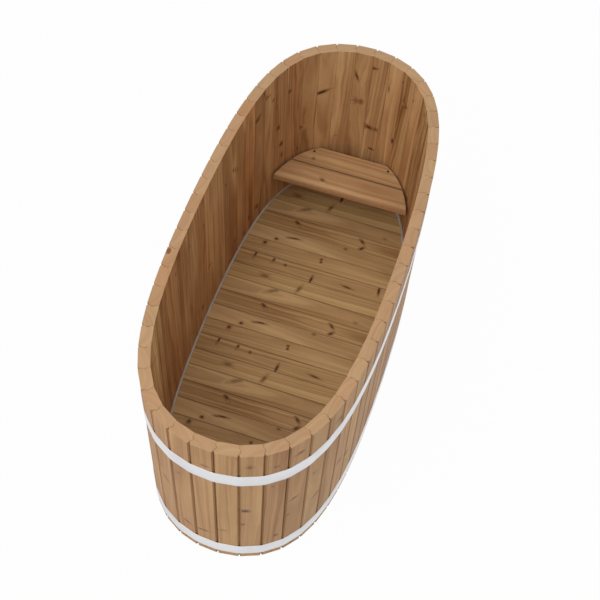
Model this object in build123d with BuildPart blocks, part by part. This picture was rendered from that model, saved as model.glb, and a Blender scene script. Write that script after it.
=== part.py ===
from build123d import *
import os
from math import cos, pi, sin

os.makedirs("parts", exist_ok=True)

# An oval plunge tub coopered from upright staves, in millimetres.
# The foot end is -Y, the seat end is +Y, and the tub stands on Z = 0.

# Outline of the stave ring, seen from above
tub_length = 1678.0
tub_width = 735.0
tub_height = 800.0
side_fullness = 0.0675
end_fullness = 0.0294
outline_points = 60

# Staves
stave_count = 55
stave_thickness = 38.0
first_joint_share = 0.2
stave_groove_width = 9.0
stave_groove_depth = 8.0
tongue_width = 15.0
tongue_top_width = 8.0
tongue_height = 4.5
groove_clearance = 0.3

# Floor boards in their groove
floor_top = 108.0
floor_thickness = 36.0
floor_board_count = 23
seat_end_board_width = 78.7
foot_end_board_width = 91.7
croze_depth = 10.0
croze_clearance = 0.5
floor_tongue_thickness = 8.0
floor_tongue_length = 6.0
floor_tongue_clearance = 0.3
floor_chamfer = 1.5
seal_size = 6.0
seal_chamfer = 4.5

# Bearers under the floor
bearer_width = 60.0
bearer_spacing = 200.0
bearer_wall_gap = 4.0

# Hoops and their clamps
hoop_width = 64.0
hoop_thickness = 2.0
upper_hoop_z = 602.0
lower_hoop_z = 33.0
clamp_gap = 24.0
lug_thickness = 4.0
lug_base = 22.0
lug_reach = 30.0
lug_height = 50.0
lug_corner = 7.0
clamp_bolt_radius = 5.0
clamp_bolt_clearance = 0.3
clamp_bolt_end = 8.0
nut_flats = 17.0
nut_height = 8.4
bolt_head_height = 6.4
thread_clearance = 0.1

# Seat
seat_height = 288.0
seat_thickness = 28.0
seat_end_gap = 39.0
seat_board_width = 95.0
seat_board_gap = 3.0
seat_wall_gap = 10.0
seat_edge_chamfer = 2.0
cleat_width = 40.0
cleat_height = 45.0
cleat_front_setback = 40.0
cleat_back_setback = 12.0
screw_radius = 2.5
screw_head_radius = 5.0
screw_head_height = 3.0
screw_clearance = 0.1
screw_grip = 22.0
seat_screw_inset = 28.0

# Drain
drain_inset = 39.0
drain_thread_radius = 18.0
drain_spigot_radius = 16.0
drain_spigot_length = 38.0
drain_spigot_end_z = 10.0
drain_bore_radius = 13.0
drain_flange_radius = 26.0
drain_flange_thickness = 5.0
drain_hole_clearance = 0.5
drain_nut_flats = 50.0
drain_nut_height = 11.0
plug_clearance = 0.3
plug_length = 14.0
plug_rim_radius = 18.0
plug_rim_thickness = 3.0
plug_grip_width = 22.0
plug_grip_thickness = 5.0
plug_grip_height = 15.0
plug_grip_corner = 4.0


def outline_point(turn):
    """A point of the staves' outer outline, turn running from 0 to 1 anticlockwise."""
    angle = 2 * pi * turn
    x = (cos(angle) - side_fullness * cos(3 * angle)) / (1 - side_fullness)
    y = (sin(angle) + end_fullness * sin(3 * angle)) / (1 - end_fullness)
    return Vector(x * tub_width / 2, y * tub_length / 2)


# The outline starts in the middle of the foot end, and the joints are evenly spaced along it
with BuildLine() as outline:
    knots = [outline_point(i / outline_points - 0.25) for i in range(outline_points)]
    Spline(knots, periodic=True)
outline_wire = outline.wire()
stave_pitch = outline_wire.length / stave_count
corners = [
    outline_wire.position_at((i + first_joint_share) * stave_pitch, PositionMode.LENGTH)
    for i in range(stave_count)
]
facings = [(corners[(i + 1) % stave_count] - corners[i]).normalized() for i in range(stave_count)]
inward = [facing.rotate(Axis.Z, 90) for facing in facings]


def ring(distance):
    """Corners of the stave ring, moved inward from the outer faces by a distance."""
    moved = []
    for i in range(stave_count):
        mitre = inward[i - 1] + inward[i]
        moved.append(corners[i] + mitre * (distance / (1 + inward[i - 1].dot(inward[i]))))
    return moved


def crossing(distance, y, side):
    """Where the ring at that distance crosses the line at y, on one side of the tub."""
    points = ring(distance)
    xs = []
    for start, end in zip(points, points[1:] + points[:1]):
        if min(start.Y, end.Y) <= y <= max(start.Y, end.Y) and start.Y != end.Y:
            xs.append(start.X + (end.X - start.X) * (y - start.Y) / (end.Y - start.Y))
    return max(xs) if side > 0 else min(xs)


# The clamps sit on the stave nearest the seat end. They reach out past the tub, so the tub
# stands a little towards the foot end of the origin, which is the middle of everything.
middles = [(corners[i] + corners[(i + 1) % stave_count]) / 2 for i in range(stave_count)]
clamp_stave = max(range(stave_count), key=lambda i: middles[i].Y)
clamp_middle = middles[clamp_stave]
clamp_side = facings[clamp_stave]
clamp_out = -inward[clamp_stave]
clamp_foot = clamp_middle + clamp_out * hoop_thickness
lug_tip = clamp_foot + clamp_out * lug_reach
seat_end_reach = lug_tip.Y + abs(clamp_side.Y) * (clamp_gap / 2 + lug_thickness)
foot_end_reach = max(-corner.Y for corner in ring(-hoop_thickness))
centre_y = (foot_end_reach - seat_end_reach) / 2
centre = Vector(0, centre_y)

inner_ring = ring(stave_thickness)
floor_underside = floor_top - floor_thickness
seat_underside = seat_height - seat_thickness


def level(z):
    """The horizontal plane at a height, with its origin in the middle of the stave ring."""
    return Plane(origin=(0, centre_y, z))


def clamp_plane(z):
    """A horizontal plane at the clamps, X along the hoop and Y out of the tub."""
    middle = clamp_foot + centre
    return Plane(origin=(middle.X, middle.Y, z), x_dir=-clamp_side, z_dir=(0, 0, 1))


def finish(part, name):
    """Name a finished piece and write it to its own file."""
    part.label = name
    export_step(part, f"parts/{name}.step")


def joint_line(joint, clearance):
    """Points across the thickness at a joint: foot of its V groove, then the tongue, then inside."""
    outer = corners[joint % stave_count]
    inner = inner_ring[joint % stave_count]
    across = (inner - outer).normalized()
    ahead = across.rotate(Axis.Z, -90)
    middle = (outer + inner) / 2
    top = middle + ahead * (tongue_height + clearance)
    half_base = across * (tongue_width / 2 + clearance)
    half_top = across * (tongue_top_width / 2 + clearance)
    return (
        outer + across * stave_groove_depth,
        middle - half_base,
        top - half_top,
        top + half_top,
        middle + half_base,
        inner,
    )


# Cutter for the groove that holds the floor, and the shape of the floor in it
with BuildPart() as croze:
    with BuildSketch(level(floor_underside)):
        with BuildLine():
            Polyline(*ring(stave_thickness - croze_depth), close=True)
        make_face()
    extrude(amount=floor_thickness)

# Places along the tub that the seat and its cleats share
seat_back_y = max(corner.Y for corner in inner_ring) - seat_end_gap
seat_joint_y = seat_back_y - seat_board_width
seat_front_y = seat_joint_y - seat_board_gap - seat_board_width
cleat_front_y = seat_front_y + cleat_front_setback
cleat_back_y = seat_back_y - cleat_back_setback


def make_screws(planes, length, clearance):
    """Countersunk screws whose heads are flush with the given planes, pointing along them."""
    with BuildPart() as screws:
        with BuildSketch(*planes):
            Circle(screw_radius + clearance)
        extrude(amount=length + clearance)
        heads = [plane.offset(screw_head_height / 2) for plane in planes]
        with Locations(*[head.location for head in heads]):
            Cone(screw_head_radius + clearance, screw_radius + clearance, screw_head_height)
    return screws.part


def make_stave(i):
    """One stave: tongue edge ahead, groove edge behind, V grooved outside, notched for the floor."""
    ahead = joint_line(i + 1, 0)
    behind = joint_line(i, groove_clearance)
    to_groove = facings[i] * (stave_groove_width / 2)
    face_start = corners[i] + to_groove
    face_end = corners[(i + 1) % stave_count] - to_groove
    with BuildPart() as stave:
        with BuildSketch(level(0)):
            with BuildLine():
                Polyline(face_start, face_end, *ahead, *reversed(behind), close=True)
            make_face()
        extrude(amount=tub_height)
        add(croze.part, mode=Mode.SUBTRACT)
    return stave.part


# Staves share a file in twos that don't touch: one, and the next but one
def twos(count):
    """Indices in groups of two that aren't neighbours, with what is left over alone."""
    whole = count - count % 4
    groups = []
    for first in range(0, whole, 4):
        groups += [(first, first + 2), (first + 1, first + 3)]
    rest = list(range(whole, count))
    if len(rest) == 3:
        groups += [(rest[0], rest[2]), (rest[1],)]
    else:
        groups += [(i,) for i in rest]
    return groups


for group in twos(stave_count):
    with BuildPart() as staves:
        for i in group:
            add(make_stave(i))
    finish(staves.part, "staves_" + "_".join(f"{i + 1:02d}" for i in group))

# Floor boards run across the tub. The two end boards have widths of their own, the one at the
# seat end to hold the drain, and the others share what is left of the length evenly.
floor_reach = max(corner.Y for corner in ring(stave_thickness - croze_depth + croze_clearance))
first_joint = foot_end_board_width - floor_reach
last_joint = floor_reach - seat_end_board_width
floor_board_width = (last_joint - first_joint) / (floor_board_count - 2)
floor_joints = [first_joint + k * floor_board_width for k in range(floor_board_count - 1)]
floor_edges = [-floor_reach] + floor_joints + [floor_reach]
drain_y = max(corner.Y for corner in inner_ring) - drain_inset
drain_hole_radius = drain_thread_radius + drain_hole_clearance

with BuildPart() as floor_shape:
    with BuildSketch(level(floor_underside)):
        with BuildLine():
            Polyline(*ring(stave_thickness - croze_depth + croze_clearance), close=True)
        make_face()
        with Locations((0, drain_y)):
            Circle(drain_hole_radius, mode=Mode.SUBTRACT)
    extrude(amount=floor_thickness)


def make_floor_board(k):
    """One floor board: tongue towards the seat end, groove towards the foot end."""
    start, end = floor_edges[k], floor_edges[k + 1]
    middle_z = floor_thickness / 2
    half_tongue = floor_tongue_thickness / 2
    half_groove = half_tongue + floor_tongue_clearance
    groove_depth = floor_tongue_length + floor_tongue_clearance
    board_plane = Plane(origin=(0, centre_y, floor_underside), x_dir=(0, 1, 0), z_dir=(1, 0, 0))
    with BuildPart() as board:
        with BuildSketch(board_plane):
            with BuildLine():
                Polyline(
                    (start, 0),
                    (end, 0),
                    (end, floor_thickness - floor_chamfer),
                    (end - floor_chamfer, floor_thickness),
                    (start + floor_chamfer, floor_thickness),
                    (start, floor_thickness - floor_chamfer),
                    close=True,
                )
            make_face()
            if k < floor_board_count - 1:
                with Locations((end, middle_z)):
                    Rectangle(2 * floor_tongue_length, 2 * half_tongue)
            if k > 0:
                with Locations((start, middle_z)):
                    Rectangle(2 * groove_depth, 2 * half_groove, mode=Mode.SUBTRACT)
        extrude(amount=tub_width / 2, both=True)
        add(floor_shape.part, mode=Mode.INTERSECT)
    return board.part


for group in twos(floor_board_count):
    with BuildPart() as boards:
        for k in group:
            add(make_floor_board(k))
    finish(boards.part, "floor_boards_" + "_".join(f"{k + 1:02d}" for k in group))

# Sealing bead in the corner between the floor and the staves
with BuildPart() as floor_seal:
    with BuildSketch(level(floor_top)):
        with BuildLine():
            Polyline(*inner_ring, close=True)
        make_face()
        with BuildLine():
            Polyline(*ring(stave_thickness + seal_size), close=True)
        make_face(mode=Mode.SUBTRACT)
    extrude(amount=seal_size)
    seal_rim = floor_seal.faces().sort_by(Axis.Z)[-1].inner_wires()[0]
    chamfer(seal_rim.edges(), seal_chamfer)
finish(floor_seal.part, "floor_seal")


# Bearers stand on the ground under the floor. The middle one stops short of the drain.
def make_bearer(x, back_y):
    """A bearer along the tub, cut to the staves at its ends and stopped at back_y."""
    with BuildPart() as bearer:
        with BuildSketch(level(0)):
            with BuildLine():
                Polyline(*ring(stave_thickness + bearer_wall_gap), close=True)
            make_face()
            with Locations((x, back_y - tub_length)):
                Rectangle(bearer_width, 2 * tub_length, mode=Mode.INTERSECT)
        extrude(amount=floor_underside)
    return bearer.part


bearer_stop = drain_y - drain_nut_flats / 2 - bearer_width / 2
for name, x, back_y in (
    ("left_floor_bearer", -bearer_spacing, tub_length),
    ("middle_floor_bearer", 0, bearer_stop),
    ("right_floor_bearer", bearer_spacing, tub_length),
):
    finish(make_bearer(x, back_y), name)


def make_hoop(z):
    """A flat strip round the staves, open between the two lugs of its clamp."""
    with BuildPart() as hoop:
        with BuildSketch(level(z)):
            with BuildLine():
                Polyline(*ring(-hoop_thickness), close=True)
            make_face()
            with BuildLine():
                Polyline(*corners, close=True)
            make_face(mode=Mode.SUBTRACT)
        extrude(amount=hoop_width)
        with BuildSketch(clamp_plane(z)):
            Rectangle(clamp_gap, 4 * hoop_thickness)
        extrude(amount=hoop_width, mode=Mode.SUBTRACT)
    return hoop.part


def clamp_bolt_plane(z, along):
    """A plane square to a clamp bolt, at a height and a place along the hoop."""
    base = clamp_plane(z)
    origin = base.from_local_coords((along, (lug_thickness + lug_reach) / 2, 0))
    return Plane(origin=origin, x_dir=(0, 0, 1), z_dir=base.x_dir)


lug_outside = clamp_gap / 2 + lug_thickness


def make_lugs(z):
    """The two angle lugs of a clamp, drilled for its bolt, with their middle at the height z."""
    foot = clamp_plane(z - lug_height / 2)
    with BuildPart() as lugs:
        with BuildSketch(foot):
            for side in (-1, 1):
                edge = Align.MIN if side > 0 else Align.MAX
                with Locations((side * clamp_gap / 2, 0)):
                    Rectangle(lug_base, lug_thickness, align=(edge, Align.MIN))
                    Rectangle(lug_thickness, lug_reach, align=(edge, Align.MIN))
        extrude(amount=lug_height)
        along_bolt = lugs.edges().filter_by(Axis((0, 0, 0), foot.x_dir))
        chamfer(along_bolt.group_by(Axis((0, 0, 0), foot.y_dir))[-1], lug_corner)
        with BuildSketch(clamp_bolt_plane(z, 0)):
            Circle(clamp_bolt_radius + clamp_bolt_clearance)
        extrude(amount=lug_outside, both=True, mode=Mode.SUBTRACT)
    return lugs.part


hoop_levels = {"upper": upper_hoop_z, "lower": lower_hoop_z}
for name, z in hoop_levels.items():
    finish(make_hoop(z), f"{name}_hoop")

# A bolt draws the two lugs of each hoop together
bolt_heights = [z + hoop_width / 2 for z in hoop_levels.values()]
with BuildPart() as hoop_lugs:
    for z in bolt_heights:
        add(make_lugs(z))
finish(hoop_lugs.part, "hoop_lugs")

with BuildPart() as hoop_bolts:
    with BuildSketch(*[clamp_bolt_plane(z, -lug_outside - bolt_head_height) for z in bolt_heights]):
        RegularPolygon(nut_flats / 2, 6, major_radius=False)
    extrude(amount=bolt_head_height)
    with BuildSketch(*[clamp_bolt_plane(z, -lug_outside) for z in bolt_heights]):
        Circle(clamp_bolt_radius)
    extrude(amount=2 * lug_outside + nut_height + clamp_bolt_end)
finish(hoop_bolts.part, "hoop_bolts")

with BuildPart() as hoop_nuts:
    with BuildSketch(*[clamp_bolt_plane(z, lug_outside) for z in bolt_heights]):
        RegularPolygon(nut_flats / 2, 6, major_radius=False)
        Circle(clamp_bolt_radius + thread_clearance, mode=Mode.SUBTRACT)
    extrude(amount=nut_height)
finish(hoop_nuts.part, "hoop_nuts")

# The back board of the seat is screwed down into both cleats
seat_screw_y = seat_back_y - seat_screw_inset
seat_screw_planes = [
    Plane(
        origin=(
            crossing(stave_thickness + cleat_width / 2, seat_screw_y, side),
            seat_screw_y + centre_y,
            seat_height,
        ),
        z_dir=(0, 0, -1),
    )
    for side in (-1, 1)
]
seat_screw_length = seat_thickness + screw_grip
finish(make_screws(seat_screw_planes, seat_screw_length, 0), "seat_screws")
seat_screw_holes = make_screws(seat_screw_planes, seat_screw_length, screw_clearance)

# Cleats follow the staves under both ends of the seat
for name, side in (("left_seat_cleat", -1), ("right_seat_cleat", 1)):
    with BuildPart() as cleat:
        with BuildSketch(level(seat_underside - cleat_height)):
            with BuildLine():
                Polyline(*inner_ring, close=True)
            make_face()
            with BuildLine():
                Polyline(*ring(stave_thickness + cleat_width), close=True)
            make_face(mode=Mode.SUBTRACT)
            with Locations((side * tub_width / 2, (cleat_front_y + cleat_back_y) / 2)):
                Rectangle(tub_width, cleat_back_y - cleat_front_y, mode=Mode.INTERSECT)
        extrude(amount=cleat_height)
        add(seat_screw_holes, mode=Mode.SUBTRACT)
    finish(cleat.part, name)


def make_seat_board(front_y, back_y):
    """A seat board with ends that follow the staves, a steady gap away from them."""
    middle_y = (front_y + back_y) / 2
    right = [crossing(stave_thickness, y, 1) - seat_wall_gap for y in (front_y, middle_y, back_y)]
    left = [crossing(stave_thickness, y, -1) + seat_wall_gap for y in (front_y, middle_y, back_y)]
    with BuildPart() as board:
        with BuildSketch(level(seat_underside)):
            with BuildLine():
                Line((left[0], front_y), (right[0], front_y))
                ThreePointArc((right[0], front_y), (right[1], middle_y), (right[2], back_y))
                Line((right[2], back_y), (left[2], back_y))
                ThreePointArc((left[2], back_y), (left[1], middle_y), (left[0], front_y))
            make_face()
        extrude(amount=seat_thickness)
        chamfer(board.faces().sort_by(Axis.Z)[-1].edges(), seat_edge_chamfer)
        add(seat_screw_holes, mode=Mode.SUBTRACT)
    return board.part


finish(make_seat_board(seat_joint_y, seat_back_y), "seat_back_board")
finish(make_seat_board(seat_front_y, seat_joint_y - seat_board_gap), "seat_front_board")

# Drain: a flanged pipe through the floor, bedded on it and drawn down by a nut underneath
flange_top = floor_top + drain_flange_thickness


def drain_level(z):
    """The horizontal plane at a height, with its origin on the drain's axis."""
    return Plane(origin=(0, drain_y + centre_y, z))


with BuildPart() as drain_body:
    with BuildSketch(drain_level(drain_spigot_end_z)):
        Circle(drain_spigot_radius)
    extrude(amount=drain_spigot_length)
    with BuildSketch(drain_level(drain_spigot_end_z + drain_spigot_length)):
        Circle(drain_thread_radius)
    extrude(amount=floor_top - drain_spigot_end_z - drain_spigot_length)
    with BuildSketch(drain_level(floor_top)):
        Circle(drain_flange_radius)
    extrude(amount=drain_flange_thickness)
    with BuildSketch(drain_level(drain_spigot_end_z)):
        Circle(drain_bore_radius)
    extrude(amount=flange_top - drain_spigot_end_z, mode=Mode.SUBTRACT)
finish(drain_body.part, "drain_body")

with BuildPart() as drain_nut:
    with BuildSketch(drain_level(floor_underside - drain_nut_height)):
        RegularPolygon(drain_nut_flats / 2, 6, major_radius=False)
        Circle(drain_thread_radius + thread_clearance, mode=Mode.SUBTRACT)
    extrude(amount=drain_nut_height)
finish(drain_nut.part, "drain_nut")

# Rubber plug: a stopper that closes the drain's bore, with a rim and a grip to lift it by
plug_rim_z = flange_top + plug_clearance
plug_rim_top = plug_rim_z + plug_rim_thickness
with BuildPart() as drain_plug:
    with BuildSketch(drain_level(plug_rim_z - plug_length)):
        Circle(drain_bore_radius - plug_clearance)
    extrude(amount=plug_length)
    with BuildSketch(drain_level(plug_rim_z)):
        Circle(plug_rim_radius)
    extrude(amount=plug_rim_thickness)
    with BuildSketch(drain_level(plug_rim_top)):
        Rectangle(plug_grip_width, plug_grip_thickness)
    extrude(amount=plug_grip_height)
    chamfer(drain_plug.edges().group_by(Axis.Z)[-1].filter_by(Axis.Y), plug_grip_corner)
finish(drain_plug.part, "drain_plug")
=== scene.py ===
"""Dresses an oval wooden plunge tub: its staves, floor, hoops, seat and drain, and a pale studio.

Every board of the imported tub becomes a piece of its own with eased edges, board by board grain
and its own knots. The metal, rubber and plastic pieces get eased edges and their own finishes.
"""

import logging
import math
import random
from dataclasses import dataclass, field
from enum import Enum
from functools import reduce
from typing import Callable, Optional, Sequence, Union

import bmesh
import bpy
from mathutils import Matrix, Vector

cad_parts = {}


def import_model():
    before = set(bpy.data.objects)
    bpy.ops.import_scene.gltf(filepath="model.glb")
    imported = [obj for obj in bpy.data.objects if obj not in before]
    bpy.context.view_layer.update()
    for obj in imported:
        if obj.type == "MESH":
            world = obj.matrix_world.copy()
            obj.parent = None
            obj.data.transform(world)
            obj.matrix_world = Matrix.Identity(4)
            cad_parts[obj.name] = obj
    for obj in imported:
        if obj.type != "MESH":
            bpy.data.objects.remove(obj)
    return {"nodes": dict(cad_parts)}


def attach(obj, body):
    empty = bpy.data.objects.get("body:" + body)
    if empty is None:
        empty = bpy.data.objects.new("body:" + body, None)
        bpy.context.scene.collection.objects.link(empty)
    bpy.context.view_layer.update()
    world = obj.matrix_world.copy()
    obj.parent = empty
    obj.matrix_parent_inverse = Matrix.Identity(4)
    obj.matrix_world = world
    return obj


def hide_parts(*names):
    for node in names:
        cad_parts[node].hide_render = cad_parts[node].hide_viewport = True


LOG = logging.getLogger("tub")
Colour = tuple[float, float, float, float]
Socket = bpy.types.NodeSocket
Input = Union[float, tuple, Socket]
NODES: dict[str, bpy.types.Object] = {}

# Middle of the ring of staves, on the ground
HUB = Vector((0.0, -0.0143, 0.0))
UP = Vector((0.0, 0.0, 1.0))
# Points of a board that are nearer than this are merged before its edges are rounded
SMALLEST_EDGE = 0.0006
KNOTS_PER_BOARD = 6
# A place across a board where nothing of it lies
NOWHERE = 9.0
STAVE_SEEDS = 1300
FLOOR_SEEDS = 2100
TIMBER_SEEDS = 3000
SENSOR_WIDTH = 36.0


def srgb(red: int, green: int, blue: int) -> Colour:
    """A colour as a shader wants it.

    Args:
        red: Red from 0 to 255, as a screen shows it.
        green: Green from 0 to 255.
        blue: Blue from 0 to 255.

    Returns:
        The same colour in linear light, with full alpha.
    """
    parts = []
    for part in (red, green, blue):
        share = part / 255
        parts.append(share / 12.92 if share <= 0.04045 else ((share + 0.055) / 1.055) ** 2.4)
    return (parts[0], parts[1], parts[2], 1.0)


class Body(Enum):
    """The bodies of the tub that pieces ride on."""

    TUB = "tub"
    PLUG = "plug"


class NodeSheet:
    """Adds shader nodes to one new material and links them."""

    def __init__(self, name: str) -> None:
        """Starts a material with only its main shader and output.

        Args:
            name: Name of the material.
        """
        self.material = bpy.data.materials.new(name)
        self.material.use_nodes = True
        self.tree = self.material.node_tree
        self.shader = self.tree.nodes["Principled BSDF"]

    def plug(self, socket: Socket, value: Input) -> None:
        """Links a socket to another one, or sets its value.

        Args:
            socket: The input to feed.
            value: A socket, a number or a tuple.
        """
        if isinstance(value, bpy.types.NodeSocket):
            self.tree.links.new(value, socket)
        else:
            socket.default_value = value

    def attribute(self, name: str, output: str = "Vector") -> Socket:
        """What the mesh holds under a name.

        Args:
            name: Name of the mesh attribute.
            output: The socket that gives it, Vector or Fac.

        Returns:
            The socket.
        """
        node = self.tree.nodes.new("ShaderNodeAttribute")
        node.attribute_name = name
        return node.outputs[output]

    def math(self, operation: str, *values: Input, clamp: bool = False) -> Socket:
        """One Math node.

        Args:
            operation: What it works out.
            *values: Its inputs in order.
            clamp: Whether the result stays within 0 and 1.

        Returns:
            The result.
        """
        node = self.tree.nodes.new("ShaderNodeMath")
        node.operation = operation
        node.use_clamp = clamp
        for socket, value in zip(node.inputs, values):
            self.plug(socket, value)
        return node.outputs[0]

    def vector(self, operation: str, *values: Input) -> Socket:
        """One Vector Math node.

        Args:
            operation: What it works out.
            *values: Its inputs in order.

        Returns:
            The number for a length, and otherwise the vector.
        """
        node = self.tree.nodes.new("ShaderNodeVectorMath")
        node.operation = operation
        for socket, value in zip(node.inputs, values):
            self.plug(socket, value)
        return node.outputs["Value" if operation in ("LENGTH", "DOT_PRODUCT") else "Vector"]

    def part(self, vector: Socket, axis: int) -> Socket:
        """One number of a vector.

        Args:
            vector: The vector.
            axis: Which of its numbers, from 0.

        Returns:
            The number.
        """
        return self.vector("DOT_PRODUCT", vector, tuple(float(number == axis) for number in range(3)))

    def parts(self, vector: Socket) -> tuple[Socket, Socket, Socket]:
        """The three numbers of a vector.

        Args:
            vector: The vector to take apart.

        Returns:
            Its X, Y and Z.
        """
        node = self.tree.nodes.new("ShaderNodeSeparateXYZ")
        self.plug(node.inputs[0], vector)
        return node.outputs[0], node.outputs[1], node.outputs[2]

    def join(self, x: Input, y: Input, z: Input) -> Socket:
        """A vector from three numbers.

        Args:
            x: First number.
            y: Second number.
            z: Third number.

        Returns:
            The vector.
        """
        node = self.tree.nodes.new("ShaderNodeCombineXYZ")
        for socket, value in zip(node.inputs, (x, y, z)):
            self.plug(socket, value)
        return node.outputs[0]

    def noise(self, place: Socket, scale: float, detail: float = 2.0, seed: Input = 0.0) -> Socket:
        """Soft noise, about 0.5 on average.

        Args:
            place: Where it is read.
            scale: How fine it is.
            detail: How many finer layers it has.
            seed: Fourth coordinate, so that boards differ.

        Returns:
            The noise.
        """
        node = self.tree.nodes.new("ShaderNodeTexNoise")
        node.noise_dimensions = "4D"
        self.plug(node.inputs["Vector"], place)
        self.plug(node.inputs["W"], seed)
        node.inputs["Scale"].default_value = scale
        node.inputs["Detail"].default_value = detail
        return node.outputs[0]

    def span(self, value: Input, low: Input, high: Input, first: Input = 0.0, last: Input = 1.0) -> Socket:
        """A number carried smoothly from one range to another.

        Args:
            value: The number.
            low: Where the result is first.
            high: Where the result is last.
            first: Result at the low end.
            last: Result at the high end.

        Returns:
            The result, held within first and last.
        """
        node = self.tree.nodes.new("ShaderNodeMapRange")
        node.interpolation_type = "SMOOTHSTEP"
        for socket, number in zip(node.inputs, (value, low, high, first, last)):
            self.plug(socket, number)
        return node.outputs[0]

    def blend(self, amount: Input, first: Input, second: Input, mode: str = "MIX") -> Socket:
        """Two colours mixed.

        Args:
            amount: Share of the second colour.
            first: First colour.
            second: Second colour.
            mode: How they mix.

        Returns:
            The mixed colour.
        """
        node = self.tree.nodes.new("ShaderNodeMix")
        node.data_type = "RGBA"
        node.blend_type = mode
        node.clamp_result = False
        self.plug(node.inputs[0], amount)
        self.plug(node.inputs[6], first)
        self.plug(node.inputs[7], second)
        return node.outputs[2]

    def bump(self, height: Socket, depth: float, strength: float = 1.0) -> None:
        """Roughens the surface.

        Args:
            height: Height from 0 to 1.
            depth: Real height of a step of 1, in metres.
            strength: Share of the effect.
        """
        node = self.tree.nodes.new("ShaderNodeBump")
        node.inputs["Distance"].default_value = depth
        node.inputs["Strength"].default_value = strength
        self.plug(node.inputs["Height"], height)
        self.plug(self.shader.inputs["Normal"], node.outputs[0])

    def here(self) -> Socket:
        """The place in the row's frame, in metres."""
        return self.tree.nodes.new("ShaderNodeTexCoord").outputs["Object"]

    def finish(
        self, colour: Input, roughness: Input, metallic: float = 0.0, shine: float = 0.5
    ) -> bpy.types.Material:
        """Feeds the main shader.

        Args:
            colour: Base colour.
            roughness: Roughness.
            metallic: 1 for bare metal.
            shine: Level of the reflections, 0.5 for common ones.

        Returns:
            The finished material.
        """
        self.plug(self.shader.inputs["Base Color"], colour)
        self.plug(self.shader.inputs["Roughness"], roughness)
        self.shader.inputs["Metallic"].default_value = metallic
        self.shader.inputs["Specular IOR Level"].default_value = shine
        return self.material


@dataclass(frozen=True)
class Knot:
    """A knot or a dark dash in a board.

    Attributes:
        along: Place along the grain, in metres.
        across: Place across the board.
        half_length: Half its length along the grain.
        half_width: Half its width across the grain.
        tilt: Angle from those directions, in radians.
        dark: How dark it is, from 0 to 1.
    """

    along: float
    across: float
    half_length: float = 0.006
    half_width: float = 0.006
    tilt: float = 0.0
    dark: float = 0.8


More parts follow.
